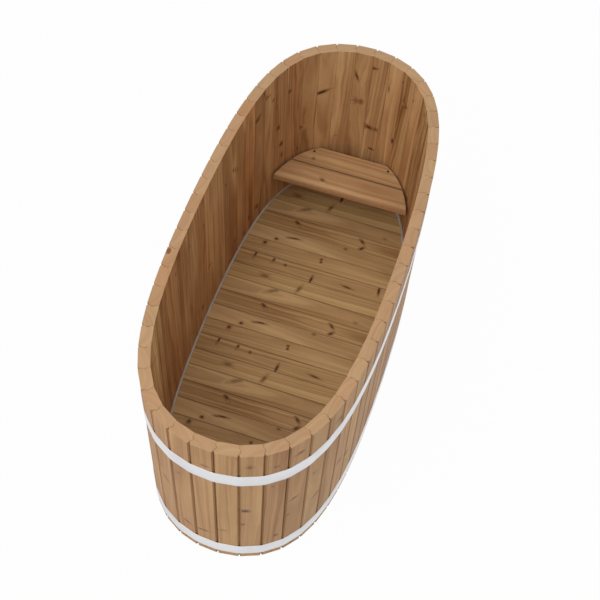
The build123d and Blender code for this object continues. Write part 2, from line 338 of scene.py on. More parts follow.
@dataclass(frozen=True)
class WoodFinish:
    """Planed softwood with growth rings, streaks and knots.

    Attributes:
        name: Name of the material.
        pale: Colour of the early wood.
        deep: Colour of the late wood.
        end_grain: Colour of sawn ends that face up, where it differs.
        warm: Tint of a reddish board.
        cool: Tint of a yellowish board.
        knot_ring: Colour around a knot.
        knot_core: Colour of a knot.
        joint_line_and_shade: Colour of the dark joint lines, which is partly painted shade, and of the
            painted shade deep in the V grooves and in the gaps between boards.
        groove_half: Half the width of the V groove at a joint, or 0 for none.
        groove_depth: Depth of that groove.
        ring_gap: Distance between growth rings.
        slow_swing: How far the rings wander along the board.
        quick_swing: How far they waver over a few centimetres.
        base_shade: Shade of the palest grain.
        broad_share: Share of the broad streaks in the shade.
        narrow_share: Share of the narrow streaks.
        late_share: Share of the late wood.
        cloud_share: Share of the soft clouds.
        joint_shade: Strength of the dark joint lines on the arrises, which is partly painted shade.
        groove_painted_shade: Strength of the painted shade deep in the V grooves.
        ring_shade: Strength of the colour around a knot.
        core_shade: Strength of a knot's own colour.
        pore_shade: Strength of the pores.
        roughness: Roughness of the early wood.
        grain_depth: Height of the grain.
    """

    name: str
    pale: Colour = srgb(226, 185, 133)
    deep: Colour = srgb(136, 86, 46)
    end_grain: Optional[Colour] = None
    warm: Colour = srgb(255, 228, 208)
    cool: Colour = srgb(250, 255, 226)
    knot_ring: Colour = srgb(112, 64, 34)
    knot_core: Colour = srgb(50, 29, 17)
    joint_line_and_shade: Colour = srgb(44, 26, 15)
    groove_half: float = 0.0
    groove_depth: float = 0.0
    ring_gap: float = 0.0042
    slow_swing: float = 0.026
    quick_swing: float = 0.004
    base_shade: float = -0.07
    broad_share: float = 0.36
    narrow_share: float = 0.26
    late_share: float = 0.13
    cloud_share: float = 0.56
    joint_shade: float = 0.7
    groove_painted_shade: float = 0.95
    ring_shade: float = 0.66
    core_shade: float = 0.92
    pore_shade: float = 0.3
    roughness: float = 0.6
    grain_depth: float = 0.00012

    def knots(self, sheet: NodeSheet, board: Socket) -> tuple[Socket, Socket, Socket]:
        """The knots of the board that the mesh lists.

        Args:
            sheet: The material being made.
            board: Place in the board: along, across and depth.

        Returns:
            How much of a knot's core there is, how much of its ring, and how far it pushes the grain.
        """
        core, ring, push = [], [], []
        for number in range(KNOTS_PER_BOARD):
            place = sheet.attribute(f"knot_place_{number}")
            size = sheet.attribute(f"knot_size_{number}")
            dark = sheet.part(size, 2)
            flat = sheet.vector("MULTIPLY", sheet.vector("SUBTRACT", board, place), (1.0, 1.0, 0.0))
            turn = sheet.tree.nodes.new("ShaderNodeVectorRotate")
            turn.rotation_type = "Z_AXIS"
            sheet.plug(turn.inputs["Vector"], flat)
            sheet.plug(turn.inputs["Angle"], sheet.part(place, 2))
            distance = sheet.vector("LENGTH", sheet.vector("DIVIDE", turn.outputs[0], size))
            core.append(sheet.math("MULTIPLY", sheet.span(distance, 1.15, 0.6), dark))
            ring.append(sheet.math("MULTIPLY", sheet.span(distance, 2.5, 0.8), dark))
            push.append(sheet.math("MULTIPLY", sheet.span(distance, 2.8, 0.4, 0.0, 0.5), sheet.part(flat, 1)))
        return (
            reduce(lambda one, two: sheet.math("MAXIMUM", one, two), core),
            reduce(lambda one, two: sheet.math("MAXIMUM", one, two), ring),
            reduce(lambda one, two: sheet.math("ADD", one, two), push),
        )

    def radius(self, sheet: NodeSheet, board: Socket, seed: Socket, push: Socket) -> Socket:
        """Distance from the pith, which wanders along the board.

        Args:
            sheet: The material being made.
            board: Place in the board.
            seed: Seed of the board.
            push: How far the knots push the grain aside.

        Returns:
            The distance, in metres.
        """
        along, across, depth = sheet.parts(board)
        pith_across, pith_depth, slope = sheet.parts(sheet.attribute("pith"))
        slow = sheet.noise(sheet.vector("MULTIPLY", board, (1.2, 9.0, 1.0)), 1.0, 1.0, seed)
        quick = sheet.noise(sheet.vector("MULTIPLY", board, (8.0, 34.0, 1.0)), 1.0, 2.0, seed)
        sideways = sheet.math("SUBTRACT", across, pith_across)
        inward = sheet.math("ADD", depth, sheet.math("MULTIPLY_ADD", along, slope, pith_depth))
        radius = sheet.vector("LENGTH", sheet.join(sideways, inward, 0.0))
        radius = sheet.math("MULTIPLY_ADD", slow, self.slow_swing, radius)
        radius = sheet.math("MULTIPLY_ADD", quick, self.quick_swing, radius)
        return sheet.math("SUBTRACT", radius, push)

    def grain(
        self, sheet: NodeSheet, board: Socket, seed: Socket, radius: Socket
    ) -> tuple[Socket, Socket, Socket]:
        """Streaks from good and poor years, the rings themselves, and fine pores along the grain.

        Args:
            sheet: The material being made.
            board: Place in the board.
            seed: Seed of the board.
            radius: Distance from the pith.

        Returns:
            The shade of the grain, the late wood alone and the pores alone.
        """
        along = sheet.part(board, 0)
        years = sheet.join(sheet.math("MULTIPLY", radius, 105.0), sheet.math("MULTIPLY", along, 0.7), 0.0)
        broad = sheet.span(sheet.noise(years, 1.0, 1.0, seed), 0.3, 0.7)
        fine = sheet.join(sheet.math("MULTIPLY", radius, 330.0), sheet.math("MULTIPLY", along, 1.6), 4.0)
        narrow = sheet.span(sheet.noise(fine, 1.0, 2.0, seed), 0.34, 0.7)
        wave = sheet.math("SINE", sheet.math("MULTIPLY", radius, 2 * math.pi / self.ring_gap))
        late = sheet.math("POWER", sheet.math("MULTIPLY_ADD", wave, 0.5, 0.5), 2.5)
        pores = sheet.noise(sheet.vector("MULTIPLY", board, (26.0, 1500.0, 1500.0)), 1.0, 2.0, seed)
        pores = sheet.span(pores, 0.58, 0.78)
        cloud = sheet.noise(sheet.vector("MULTIPLY", board, (4.0, 14.0, 1.0)), 1.0, 2.0, seed)
        shade = sheet.math("MULTIPLY_ADD", broad, self.broad_share, self.base_shade)
        shade = sheet.math("MULTIPLY_ADD", narrow, self.narrow_share, shade)
        shade = sheet.math("MULTIPLY_ADD", late, self.late_share, shade)
        return sheet.math("MULTIPLY_ADD", cloud, self.cloud_share, shade), late, pores

    def joint(self, sheet: NodeSheet, board: Socket, facing: Socket) -> Socket:
        """Painted shade deep in the V grooves and in the gaps between boards, and the dark joint lines on the
        arrises, which are partly painted shade.

        Args:
            sheet: The material being made.
            board: Place in the board.
            facing: How far the surface faces up, from -1 to 1.

        Returns:
            The amount of painted shade and dark joint line.
        """
        joint_line_and_shade = sheet.attribute("joint_line_and_shade", "Fac")
        if not self.groove_half:
            return sheet.math("MULTIPLY", joint_line_and_shade, self.joint_shade)
        across, depth = sheet.part(board, 1), sheet.part(board, 2)
        half_width = sheet.part(sheet.attribute("size"), 0)
        edge = sheet.math("SUBTRACT", half_width, sheet.math("ABSOLUTE", across))
        inside = sheet.math("DIVIDE", edge, self.groove_half)
        inside = sheet.math("ADD", inside, sheet.math("DIVIDE", depth, self.groove_depth))
        # Painted shade deep in the V groove, darker towards its bottom, where the shadow falls.
        groove_shade_mask = sheet.span(inside, 1.25, 1.04)
        deep = sheet.span(depth, 0.62 * self.groove_depth, 0.85 * self.groove_depth)
        groove_shade_mask = sheet.math("MULTIPLY", sheet.math("MULTIPLY", groove_shade_mask, deep), self.groove_painted_shade)
        if self.end_grain is not None:
            joint_line_and_shade = sheet.math("MULTIPLY", joint_line_and_shade, sheet.span(facing, 0.3, 0.6, 1.0, 0.4))
            joint_line_and_shade = sheet.math("MULTIPLY", joint_line_and_shade, sheet.span(depth, 0.015, 0.03, 1.0, 0.5))
        return sheet.math("MAXIMUM", groove_shade_mask, sheet.math("MULTIPLY", joint_line_and_shade, self.joint_shade))

    def rim_spot(self, sheet: NodeSheet, board: Socket, facing: Socket) -> Socket:
        """The dark spot on the upper end of a board that has one.

        Args:
            sheet: The material being made.
            board: Place in the board.
            facing: How far the surface faces up, from -1 to 1.

        Returns:
            The strength of the spot.
        """
        end = sheet.vector("MULTIPLY", board, (0.0, 1.0, 1.0))
        away = sheet.vector("SUBTRACT", end, sheet.attribute("rim_mark"))
        distance = sheet.vector("LENGTH", sheet.vector("MULTIPLY", away, (0.0, 1.0, 1.6)))
        spot = sheet.span(distance, 0.016, 0.008, 0.0, 1.25)
        return sheet.math("MULTIPLY", spot, sheet.span(facing, 0.3, 0.6))

    def material(self) -> bpy.types.Material:
        """Makes the wood.

        Returns:
            The material, which reads where it is in a board from the mesh.
        """
        sheet = NodeSheet(self.name)
        board = sheet.attribute("board")
        tone, warmth, seed = sheet.parts(sheet.attribute("look"))
        core, ring, push = self.knots(sheet, board)
        radius = self.radius(sheet, board, seed, push)
        shade, late, pores = self.grain(sheet, board, seed, radius)
        if self.end_grain is not None:
            calm = sheet.span(sheet.part(board, 2), 0.0, 0.02, 0.66, 1.1)
            shade = sheet.math("MULTIPLY_ADD", sheet.math("SUBTRACT", shade, 0.5), calm, 0.52)
        shade = sheet.math("ADD", shade, tone, clamp=True)
        colour = sheet.blend(shade, self.pale, self.deep)
        colour = sheet.blend(sheet.math("MULTIPLY", pores, self.pore_shade), colour, self.knot_ring)
        facing = sheet.part(sheet.tree.nodes.new("ShaderNodeNewGeometry").outputs["Normal"], 2)
        if self.end_grain is not None:
            cut = sheet.blend(sheet.math("MULTIPLY", shade, 0.42), self.end_grain, self.deep)
            colour = sheet.blend(sheet.span(facing, 0.6, 0.9), colour, cut)
            ring = sheet.math("MAXIMUM", ring, self.rim_spot(sheet, board, facing))
        reddish = sheet.math("MAXIMUM", warmth, 0.0)
        yellowish = sheet.math("MAXIMUM", sheet.math("MULTIPLY", warmth, -1.0), 0.0)
        colour = sheet.blend(reddish, colour, sheet.blend(1.0, colour, self.warm, "MULTIPLY"))
        colour = sheet.blend(yellowish, colour, sheet.blend(1.0, colour, self.cool, "MULTIPLY"))
        colour = sheet.blend(sheet.math("MULTIPLY", ring, self.ring_shade), colour, self.knot_ring)
        colour = sheet.blend(sheet.math("MULTIPLY", core, self.core_shade), colour, self.knot_core)
        # Darkens the joints: dark joint lines that are partly painted shade, and painted shade in the grooves
        # and gaps.
        colour = sheet.blend(self.joint(sheet, board, facing), colour, self.joint_line_and_shade)

        height = sheet.math("MULTIPLY_ADD", late, -0.5, sheet.math("MULTIPLY", pores, -0.6))
        height = sheet.math("MULTIPLY_ADD", core, -0.8, height)
        sheet.bump(height, self.grain_depth)
        rough = sheet.math("MULTIPLY_ADD", late, -0.07, self.roughness)
        rough = sheet.math("MULTIPLY_ADD", core, -0.12, rough)
        return sheet.finish(colour, rough, shine=0.25)


@dataclass(frozen=True)
class StripSteel:
    """Pale rolled steel strip with fine lines along it.

    Attributes:
        name: Name of the material.
        base: Colour of the metal.
        dull: Colour where it has dulled.
        roughness: Roughness of the clean metal.
        line_scale: How fine the rolling lines are, in lines to the metre.
    """

    name: str
    base: Colour = srgb(228, 228, 230)
    dull: Colour = srgb(196, 196, 198)
    roughness: float = 0.46
    line_scale: float = 900.0

    def material(self) -> bpy.types.Material:
        """Makes the steel.

        Returns:
            The material.
        """
        sheet = NodeSheet(self.name)
        here = sheet.here()
        lines = sheet.noise(sheet.vector("MULTIPLY", here, (9.0, 9.0, self.line_scale)), 1.0, 3.0)
        patches = sheet.span(sheet.noise(here, 7.0, 3.0, 3.0), 0.42, 0.72)
        specks = sheet.span(sheet.noise(here, 160.0, 2.0, 5.0), 0.62, 0.74)
        wear = sheet.math("MULTIPLY_ADD", patches, 0.35, sheet.math("MULTIPLY", lines, 0.3))
        colour = sheet.blend(wear, self.base, self.dull)
        colour = sheet.blend(sheet.math("MULTIPLY", specks, 0.25), colour, self.dull)
        rough = sheet.math("MULTIPLY_ADD", lines, 0.12, self.roughness - 0.06)
        rough = sheet.math("MULTIPLY_ADD", patches, 0.08, rough)
        sheet.bump(lines, 0.00002, 0.5)
        return sheet.finish(colour, rough, metallic=1.0)


@dataclass(frozen=True)
class MouldedFinish:
    """Rubber, sealant or plastic with a fine uneven skin.

    Attributes:
        name: Name of the material.
        base: Main colour.
        worn: Colour where it has faded or gathered dust.
        roughness: Mean roughness.
        shine: Level of the reflections.
        skin_depth: Height of the skin's grain.
    """

    name: str
    base: Colour
    worn: Colour
    roughness: float = 0.6
    shine: float = 0.4
    skin_depth: float = 0.00008

    def material(self) -> bpy.types.Material:
        """Makes the moulded surface.

        Returns:
            The material.
        """
        sheet = NodeSheet(self.name)
        here = sheet.here()
        faded = sheet.span(sheet.noise(here, 24.0, 3.0), 0.4, 0.75)
        skin = sheet.noise(here, 900.0, 3.0, 2.0)
        colour = sheet.blend(sheet.math("MULTIPLY", faded, 0.7), self.base, self.worn)
        rough = sheet.math("MULTIPLY_ADD", faded, 0.14, self.roughness - 0.05)
        sheet.bump(skin, self.skin_depth, 0.6)
        return sheet.finish(colour, rough, shine=self.shine)


@dataclass
class BoardAxes:
    """A board's own directions.

    Attributes:
        origin: Middle of its best face, at the start of its grain.
        along: Along the grain.
        across: Across the board.
        depth: From the best face into the board.
    """

    origin: Vector
    along: Vector
    across: Vector
    depth: Vector

    def place(self, point: Vector) -> tuple[float, float, float]:
        """Where a point lies in the board.

        Args:
            point: A point in the row's frame.

        Returns:
            Its distance along, across and into the board, in metres.
        """
        away = point - self.origin
        return away.dot(self.along), away.dot(self.across), away.dot(self.depth)


@dataclass
class BoardLook:
    """What sets one board apart from the next.

    Attributes:
        tone: Above 0 for a darker board.
        warmth: Above 0 for a reddish board, below for a yellowish one.
        seed: Seed of its grain.
        pith_across: Where its pith lies across the board.
        pith_depth: How far its pith lies beyond the best face.
        slope: How fast the pith nears the face along the board.
        half_width: Half the width of the board.
        knots: Its knots.
        rim_mark: A dark spot on its upper end: across and into the board.
    """

    tone: float
    warmth: float
    seed: float
    pith_across: float
    pith_depth: float
    slope: float
    half_width: float
    knots: Sequence[Knot] = ()
    rim_mark: tuple[float, float] = (NOWHERE, NOWHERE)

    @classmethod
    def drawn(
        cls, chance: random.Random, half_width: float, tone: float, warmth: float, knots: Sequence[Knot]
    ) -> "BoardLook":
        """A board sawn at random from its log.

        Args:
            chance: The seeded source of chance.
            half_width: Half the width of the board.
            tone: Its tone.
            warmth: Its warmth.
            knots: Its knots.

        Returns:
            The look of the board.
        """
        return cls(
            tone,
            warmth,
            chance.uniform(-40, 40),
            chance.uniform(-0.05, 0.05),
            chance.uniform(0.03, 0.13),
            chance.uniform(-0.012, 0.012),
            half_width,
            knots,
        )

    def write(self, mesh: bpy.types.Mesh, axes: BoardAxes) -> None:
        """Stores the look and the place in the board on a mesh.

        Args:
            mesh: The finished mesh of the board.
            axes: The board's own directions.
        """
        count = len(mesh.vertices)
        no_knot = Knot(NOWHERE, NOWHERE, 0.001, 0.001, 0.0, 0.001)
        steady = {
            "pith": (self.pith_across, self.pith_depth, self.slope),
            "look": (self.tone, self.warmth, self.seed),
            "size": (self.half_width, 0.0, 0.0),
            "rim_mark": (0.0, *self.rim_mark),
        }
        for number in range(KNOTS_PER_BOARD):
            knot = self.knots[number] if number < len(self.knots) else no_knot
            steady[f"knot_place_{number}"] = (knot.along, knot.across, knot.tilt)
            steady[f"knot_size_{number}"] = (knot.half_length, knot.half_width, knot.dark)
        for name, vector in steady.items():
            mesh.attributes.new(name, "FLOAT_VECTOR", "POINT").data.foreach_set("vector", vector * count)
        places = [number for vertex in mesh.vertices for number in axes.place(vertex.co)]
        mesh.attributes.new("board", "FLOAT_VECTOR", "POINT").data.foreach_set("vector", places)


def solids_of(node: str, whole_flats: bool = True) -> list[bmesh.types.BMesh]:
    """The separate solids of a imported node.

    Args:
        node: Name of the node.
        whole_flats: Whether the triangles of a flat face are joined into one face.

    Returns:
        A mesh for each solid.
    """
    whole = bmesh.new()
    whole.from_mesh(NODES[node].data)
    bmesh.ops.remove_doubles(whole, verts=whole.verts, dist=1e-5)
    if whole_flats:
        bmesh.ops.dissolve_limit(
            whole,
            angle_limit=math.radians(0.5),
            use_dissolve_boundaries=False,
            verts=whole.verts,
            edges=whole.edges,
        )
    whole.verts.index_update()
    left = set(range(len(whole.verts)))
    whole.verts.ensure_lookup_table()
    groups = []
    while left:
        group = {left.pop()}
        waiting = list(group)
        while waiting:
            vertex = whole.verts[waiting.pop()]
            for edge in vertex.link_edges:
                other = edge.other_vert(vertex).index
                if other not in group:
                    group.add(other)
                    waiting.append(other)
        left -= group
        groups.append(group)
    solids = []
    for group in groups:
        solid = whole.copy()
        solid.verts.ensure_lookup_table()
        spare = [vertex for vertex in solid.verts if vertex.index not in group]
        bmesh.ops.delete(solid, geom=spare, context="VERTS")
        solids.append(solid)
    whole.free()
    return solids


def middle_of(solid: bmesh.types.BMesh) -> Vector:
    """Middle of a solid's box.

    Args:
        solid: The solid.

    Returns:
        The middle.
    """
    low = Vector([min(vertex.co[axis] for vertex in solid.verts) for axis in range(3)])
    high = Vector([max(vertex.co[axis] for vertex in solid.verts) for axis in range(3)])
    return (low + high) / 2


def ease_edges(
    solid: bmesh.types.BMesh,
    width: float,
    segments: int = 2,
    least_angle: float = 20.0,
    chosen: Callable[[bmesh.types.BMEdge], bool] = lambda edge: True,
) -> list[bmesh.types.BMFace]:
    """Rounds a solid's edges.

    Args:
        solid: The solid to change.
        width: Width of the rounding, in metres.
        segments: Number of strips in it.
        least_angle: Angle below which an edge stays, in degrees.
        chosen: Says of an edge whether it is rounded.

    Returns:
        The faces of the rounding.
    """
    sharp = [
        edge for edge in solid.edges if edge.calc_face_angle(0.0) > math.radians(least_angle) and chosen(edge)
    ]
    made = bmesh.ops.bevel(
        solid, geom=sharp, offset=width, segments=segments, profile=0.5, affect="EDGES", clamp_overlap=True
    )
    return made["faces"]


def ease_board(
    solid: bmesh.types.BMesh,
    axes: BoardAxes,
    joint_width: float,
    edge_width: float,
    buried: tuple[float, float] = (0.0, 0.0),
) -> None:
    """Rounds a board's edges, and marks those that it shares with its neighbours.

    Args:
        solid: The board to change.
        axes: The board's own directions.
        joint_width: Rounding along its joints.
        edge_width: Rounding of its other edges.
        buried: Heights between which its edges stay sharp, as the floor covers them.
    """
    bmesh.ops.remove_doubles(solid, verts=solid.verts, dist=SMALLEST_EDGE)
    joint_line_and_shade = solid.faces.layers.float.new("joint_line_and_shade")
    low, high = buried

    def shows(edge: bmesh.types.BMEdge) -> bool:
        """Whether an edge reaches out of the buried heights."""
        return not all(low < vertex.co.z < high for vertex in edge.verts)

    def at_joint(edge: bmesh.types.BMEdge) -> bool:
        """Whether an edge belongs to a side that meets the next board."""
        return shows(edge) and any(abs(face.normal.dot(axes.across)) > 0.3 for face in edge.link_faces)

    # The rounded faces along the joints are marked for the dark joint line, which is partly painted shade.
    for face in ease_edges(solid, joint_width, 1, chosen=at_joint):
        face[joint_line_and_shade] = 1.0
    ease_edges(
        solid, edge_width, chosen=lambda edge: shows(edge) and not any(face[joint_line_and_shade] for face in edge.link_faces)
    )


def ring_of(
    mesh: bmesh.types.BMesh, place: Matrix, height: float, reaches: Sequence[float]
) -> list[bmesh.types.BMVert]:
    """Adds a ring of evenly turned points round an axis.

    Args:
        mesh: The mesh to add to.
        place: Matrix from the ring's own axes, Z through its middle.
        height: Its height.
        reaches: How far out each point lies.

    Returns:
        The points.
    """
    points = []
    for number, reach in enumerate(reaches):
        angle = 2 * math.pi * number / len(reaches)
        point = Vector((reach * math.cos(angle), reach * math.sin(angle), height))
        points.append(mesh.verts.new(place @ point))
    return points


def skin_rings(mesh: bmesh.types.BMesh, rings: Sequence[list[bmesh.types.BMVert]]) -> None:
    """Joins rings of points into a closed body.

    Args:
        mesh: The mesh that holds them.
        rings: The rings from the lowest up, with as many points each.
    """
    for lower, upper in zip(rings, rings[1:]):
        for number in range(len(lower)):
            following = (number + 1) % len(lower)
            mesh.faces.new((lower[number], lower[following], upper[following], upper[number]))
    mesh.faces.new(list(reversed(rings[0])))
    mesh.faces.new(rings[-1])


def mesh_of(solid: bmesh.types.BMesh, name: str) -> bpy.types.Mesh:
    """Turns a solid into a mesh.

    Args:
        solid: The solid, which is used up.
        name: Name of the mesh.

    Returns:
        The mesh.
    """
    mesh = bpy.data.meshes.new(name)
    solid.to_mesh(mesh)
    solid.free()
    return mesh


def add_object(name: str, data: bpy.types.ID) -> bpy.types.Object:
    """Puts an object in the scene.

    Args:
        name: Name of the object.
        data: Its mesh, camera or light.

    Returns:
        The object.
    """
    made = bpy.data.objects.new(name, data)
    bpy.context.scene.collection.objects.link(made)
    return made


def make_piece(
    solid: bmesh.types.BMesh, name: str, material: bpy.types.Material, smooth_angle: float = 18.0
) -> bpy.types.Object:
    """Turns a solid into a shown piece.

    Args:
        solid: The solid, which is used up.
        name: Name of the piece.
        material: Its material.
        smooth_angle: Edges flatter than this are shaded smooth, in degrees.

    Returns:
        The piece.
    """
    mesh = mesh_of(solid, name)
    mesh.polygons.foreach_set("use_smooth", [True] * len(mesh.polygons))
    mesh.set_sharp_from_angle(angle=math.radians(smooth_angle))
    mesh.materials.append(material)
    return add_object(name, mesh)


def seat_piece(piece: bpy.types.Object, node: str, body: Body = Body.TUB) -> None:
    """Fixes a finished piece to the tub.

    Args:
        piece: The piece.
        node: Node that it stands for.
        body: Body that it moves with.
    """
    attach(piece, body.value)
    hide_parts(node)
    LOG.info("%s stands for %s", piece.name, node)


def numbers_in(node: str) -> list[int]:
    """The board numbers at the end of a node's name.

    Args:
        node: Name of the node.

    Returns:
        The numbers in order.
    """
    return [int(word) for word in node.split("_") if word.isdigit()]


@dataclass
class StaveRing:
    """The upright staves.

    Attributes:
        finish: Their wood.
        half_width: Half the width of a stave's outer side.
        joint_ease: Rounding of their edges along the joints.
        rim_ease: Rounding of their other edges.
        croze: Heights around the groove for the floor, where too little wood is left to round.
        tones: Tones of staves that stand out.
        warmths: Warmths of staves that stand out.
        knots: Knots of the staves where they are known, by stave.
        rim_marks: Dark spots on the staves' upper ends, by stave.
        reddish: The staves with a warmer colour.
        extra_warmth: How much warmer those are.
    """

    finish: WoodFinish
    half_width: float = 0.03729
    joint_ease: float = 0.0007
    rim_ease: float = 0.001
    croze: tuple[float, float] = (0.07, 0.11)
    tones: dict[int, float] = field(default_factory=dict)
    warmths: dict[int, float] = field(default_factory=dict)
    knots: dict[int, tuple[Knot, ...]] = field(default_factory=dict)
    rim_marks: dict[int, tuple[float, float]] = field(default_factory=dict)
    reddish: range = range(32, 48)
    extra_warmth: float = 0.25

    @staticmethod
    def turn(solid: bmesh.types.BMesh) -> float:
        """How far round the tub a stave stands, anticlockwise from the foot end.

        Args:
            solid: The stave.

        Returns:
            The angle in radians.
        """
        away = middle_of(solid) - HUB
        return math.atan2(away.x, -away.y) % (2 * math.pi)

    @staticmethod
    def axes(solid: bmesh.types.BMesh) -> BoardAxes:
        """A stave's own directions, from its outer side.

        Args:
            solid: The stave.

        Returns:
            The directions.
        """
        outward = [
            face
            for face in solid.faces
            if abs(face.normal.z) < 0.01 and face.normal.dot(face.calc_center_median() - HUB) > 0
        ]
        outer = max(outward, key=lambda face: face.calc_area())
        depth = -outer.normal.normalized()
        across = UP.cross(outer.normal).normalized()
        reach = [vertex.co.dot(across) for vertex in outer.verts]
        middle = across * ((min(reach) + max(reach)) / 2)
        origin = middle - depth * outer.verts[0].co.dot(outer.normal)
        return BoardAxes(Vector((origin.x, origin.y, 0.0)), UP, across, depth)

    def random_knots(self, chance: random.Random) -> tuple[Knot, ...]:
        """Knots for a stave that has none listed.

        Args:
            chance: The seeded source of chance.

        Returns:
            None to three knots.
        """
        return tuple(
            Knot(
                chance.uniform(0.12, 0.78),
                chance.uniform(-0.026, 0.026),
                chance.uniform(0.004, 0.009),
                chance.uniform(0.004, 0.012),
                chance.uniform(-0.6, 0.6),
                chance.uniform(0.4, 0.9),
            )
            for _ in range(chance.choice((0, 1, 1, 2, 2, 3)))
        )

    def build(self) -> None:
        """Makes the staves one by one."""
        material = self.finish.material()
        for node in sorted(name for name in NODES if name.startswith("staves_")):
            solids = sorted(solids_of(node), key=self.turn)
            for number, solid in zip(numbers_in(node), solids):
                chance = random.Random(STAVE_SEEDS + number)
                tone = self.tones.get(number, chance.gauss(0.0, 0.07))
                warmth = self.warmths.get(number, chance.uniform(-0.25, 0.35))
                warmth += self.extra_warmth if number in self.reddish else 0.0
                knots = self.knots.get(number) or self.random_knots(chance)
                look = BoardLook.drawn(chance, self.half_width, tone, warmth, knots)
                look.rim_mark = self.rim_marks.get(number, look.rim_mark)
                axes = self.axes(solid)
                ease_board(solid, axes, self.joint_ease, self.rim_ease, self.croze)
                piece = make_piece(solid, f"stave_{number:02d}", material)
                look.write(piece.data, axes)
                seat_piece(piece, node)


@dataclass
class FloorDeck:
    """The boards of the floor, whose pattern comes back every six boards.

    Attributes:
        finish: Their wood.
        joint_ease: Rounding of their edges.
        board_count: Number of boards.
        tones: Tone of each of the six.
        warmths: Warmth of each of the six.
        knots: Knots of each of the six, along the board from its middle.
    """

    finish: WoodFinish
    joint_ease: float = 0.0004
    board_count: int = 23
    tones: tuple[float, ...] = (0.04, -0.08, 0.02, 0.02, 0.05, -0.02)
    warmths: tuple[float, ...] = (-0.2, -0.35, -0.1, -0.2, -0.05, -0.15)
    knots: tuple[tuple[Knot, ...], ...] = (
        (
            Knot(-0.248, 0.024, 0.0035, 0.013, 0.15, 0.95),
            Knot(-0.172, 0.021, 0.004, 0.009, 0.2, 0.8),
            Knot(-0.122, 0.012, 0.004, 0.004, 0.0, 0.7),
            Knot(-0.008, -0.020, 0.004, 0.014, 0.1, 1.0),
            Knot(0.133, -0.007, 0.018, 0.0035, 0.12, 0.8),
            Knot(0.254, 0.018, 0.004, 0.015, -0.1, 1.0),
        ),
        (Knot(-0.181, 0.007, 0.015, 0.008, 0.0, 0.4), Knot(-0.038, -0.008, 0.006, 0.016, 0.35, 0.55)),
        (Knot(-0.127, 0.022, 0.024, 0.007, -0.45, 0.42), Knot(0.21, -0.012, 0.008, 0.005, 0.0, 0.3)),
        (
            Knot(-0.139, 0.014, 0.011, 0.0045, 0.7, 0.75),
            Knot(0.129, 0.013, 0.011, 0.0045, 0.7, 0.8),
            Knot(0.135, -0.020, 0.010, 0.005, -0.7, 0.85),
        ),
        (
            Knot(0.077, 0.026, 0.006, 0.004, 0.0, 0.5),
            Knot(-0.195, -0.018, 0.006, 0.005, 0.0, 0.9),
            Knot(-0.127, 0.007, 0.018, 0.003, -0.08, 0.9),
            Knot(-0.150, 0.001, 0.010, 0.002, 0.0, 0.7),
        ),
        (
            Knot(0.002, 0.014, 0.0045, 0.0045, 0.0, 0.85),
            Knot(0.004, 0.002, 0.0045, 0.0045, 0.0, 0.85),
            Knot(-0.232, 0.020, 0.006, 0.007, 0.3, 0.8),
        ),
    )

    def build(self) -> None:
        """Makes the boards one by one."""
        material = self.finish.material()
        for node in sorted(name for name in NODES if name.startswith("floor_boards_")):
            solids = sorted(solids_of(node), key=lambda solid: middle_of(solid).y)
            for number, solid in zip(numbers_in(node), solids):
                kind = (self.board_count - 1 - number) % len(self.knots)
                chance = random.Random(FLOOR_SEEDS + kind)
                top = max(vertex.co.z for vertex in solid.verts)
                ys = [vertex.co.y for vertex in solid.verts if vertex.co.z > top - 1e-4]
                middle = Vector((0.0, (min(ys) + max(ys)) / 2, top))
                half_width = (max(ys) - min(ys)) / 2 + self.finish.groove_half
                tone, warmth, knots = self.tones[kind], self.warmths[kind], self.knots[kind]
                look = BoardLook.drawn(chance, half_width, tone, warmth, knots)
                axes = BoardAxes(middle, Vector((1, 0, 0)), Vector((0, 1, 0)), -UP)
                ease_board(solid, axes, self.joint_ease, self.joint_ease)
                piece = make_piece(solid, f"floor_board_{number:02d}", material)
                look.write(piece.data, axes)
                seat_piece(piece, node)


@dataclass
class Timber:
    """A single board or bearer made from a whole node.

    Attributes:
        node: The node that it stands for.
        name: Name of the piece.
        finish: Its wood.
        along: Direction of its grain.
        across: Direction across it.
        ease: Rounding of its edges.
        tone: Its tone.
        warmth: Its warmth.
        seed: Seed of its grain.
        knots: Its knots.
        joint_side: Where the next board lies, if there is one; the faces toward it get painted shade for the
            gap between the boards.
    """

    node: str
    name: str
    finish: WoodFinish
    along: Vector
    across: Vector
    ease: float = 0.001
    tone: float = 0.0
    warmth: float = 0.0
    seed: int = 0
    knots: tuple[Knot, ...] = ()
    joint_side: Optional[Vector] = None

    def build(self, material: bpy.types.Material) -> None:
        """Makes the board.

        Args:
            material: Its material.
        """
        solid = solids_of(self.node)[0]
        depth = self.along.cross(self.across)
        depth = -UP if abs(depth.z) > 0.5 else depth
        middle = middle_of(solid)
        top = max(vertex.co.z for vertex in solid.verts)
        reach = [vertex.co.dot(self.across) for vertex in solid.verts]
        chance = random.Random(TIMBER_SEEDS + self.seed)
        half_width = (max(reach) - min(reach)) / 2
        look = BoardLook.drawn(chance, half_width, self.tone, self.warmth, self.knots)
        origin = Vector((middle.x, middle.y, top))
        origin -= self.along * origin.dot(self.along)
        joint_line_and_shade = solid.faces.layers.float.new("joint_line_and_shade")
        ease_edges(solid, self.ease)
        # Faces toward the gap to the next board are marked for painted shade.
        for face in solid.faces:
            if self.joint_side is not None and face.normal.dot(self.joint_side) > 0.3:
                face[joint_line_and_shade] = 1.0
        piece = make_piece(solid, self.name, material)
        look.write(piece.data, BoardAxes(origin, self.along, self.across, depth))
        seat_piece(piece, self.node)


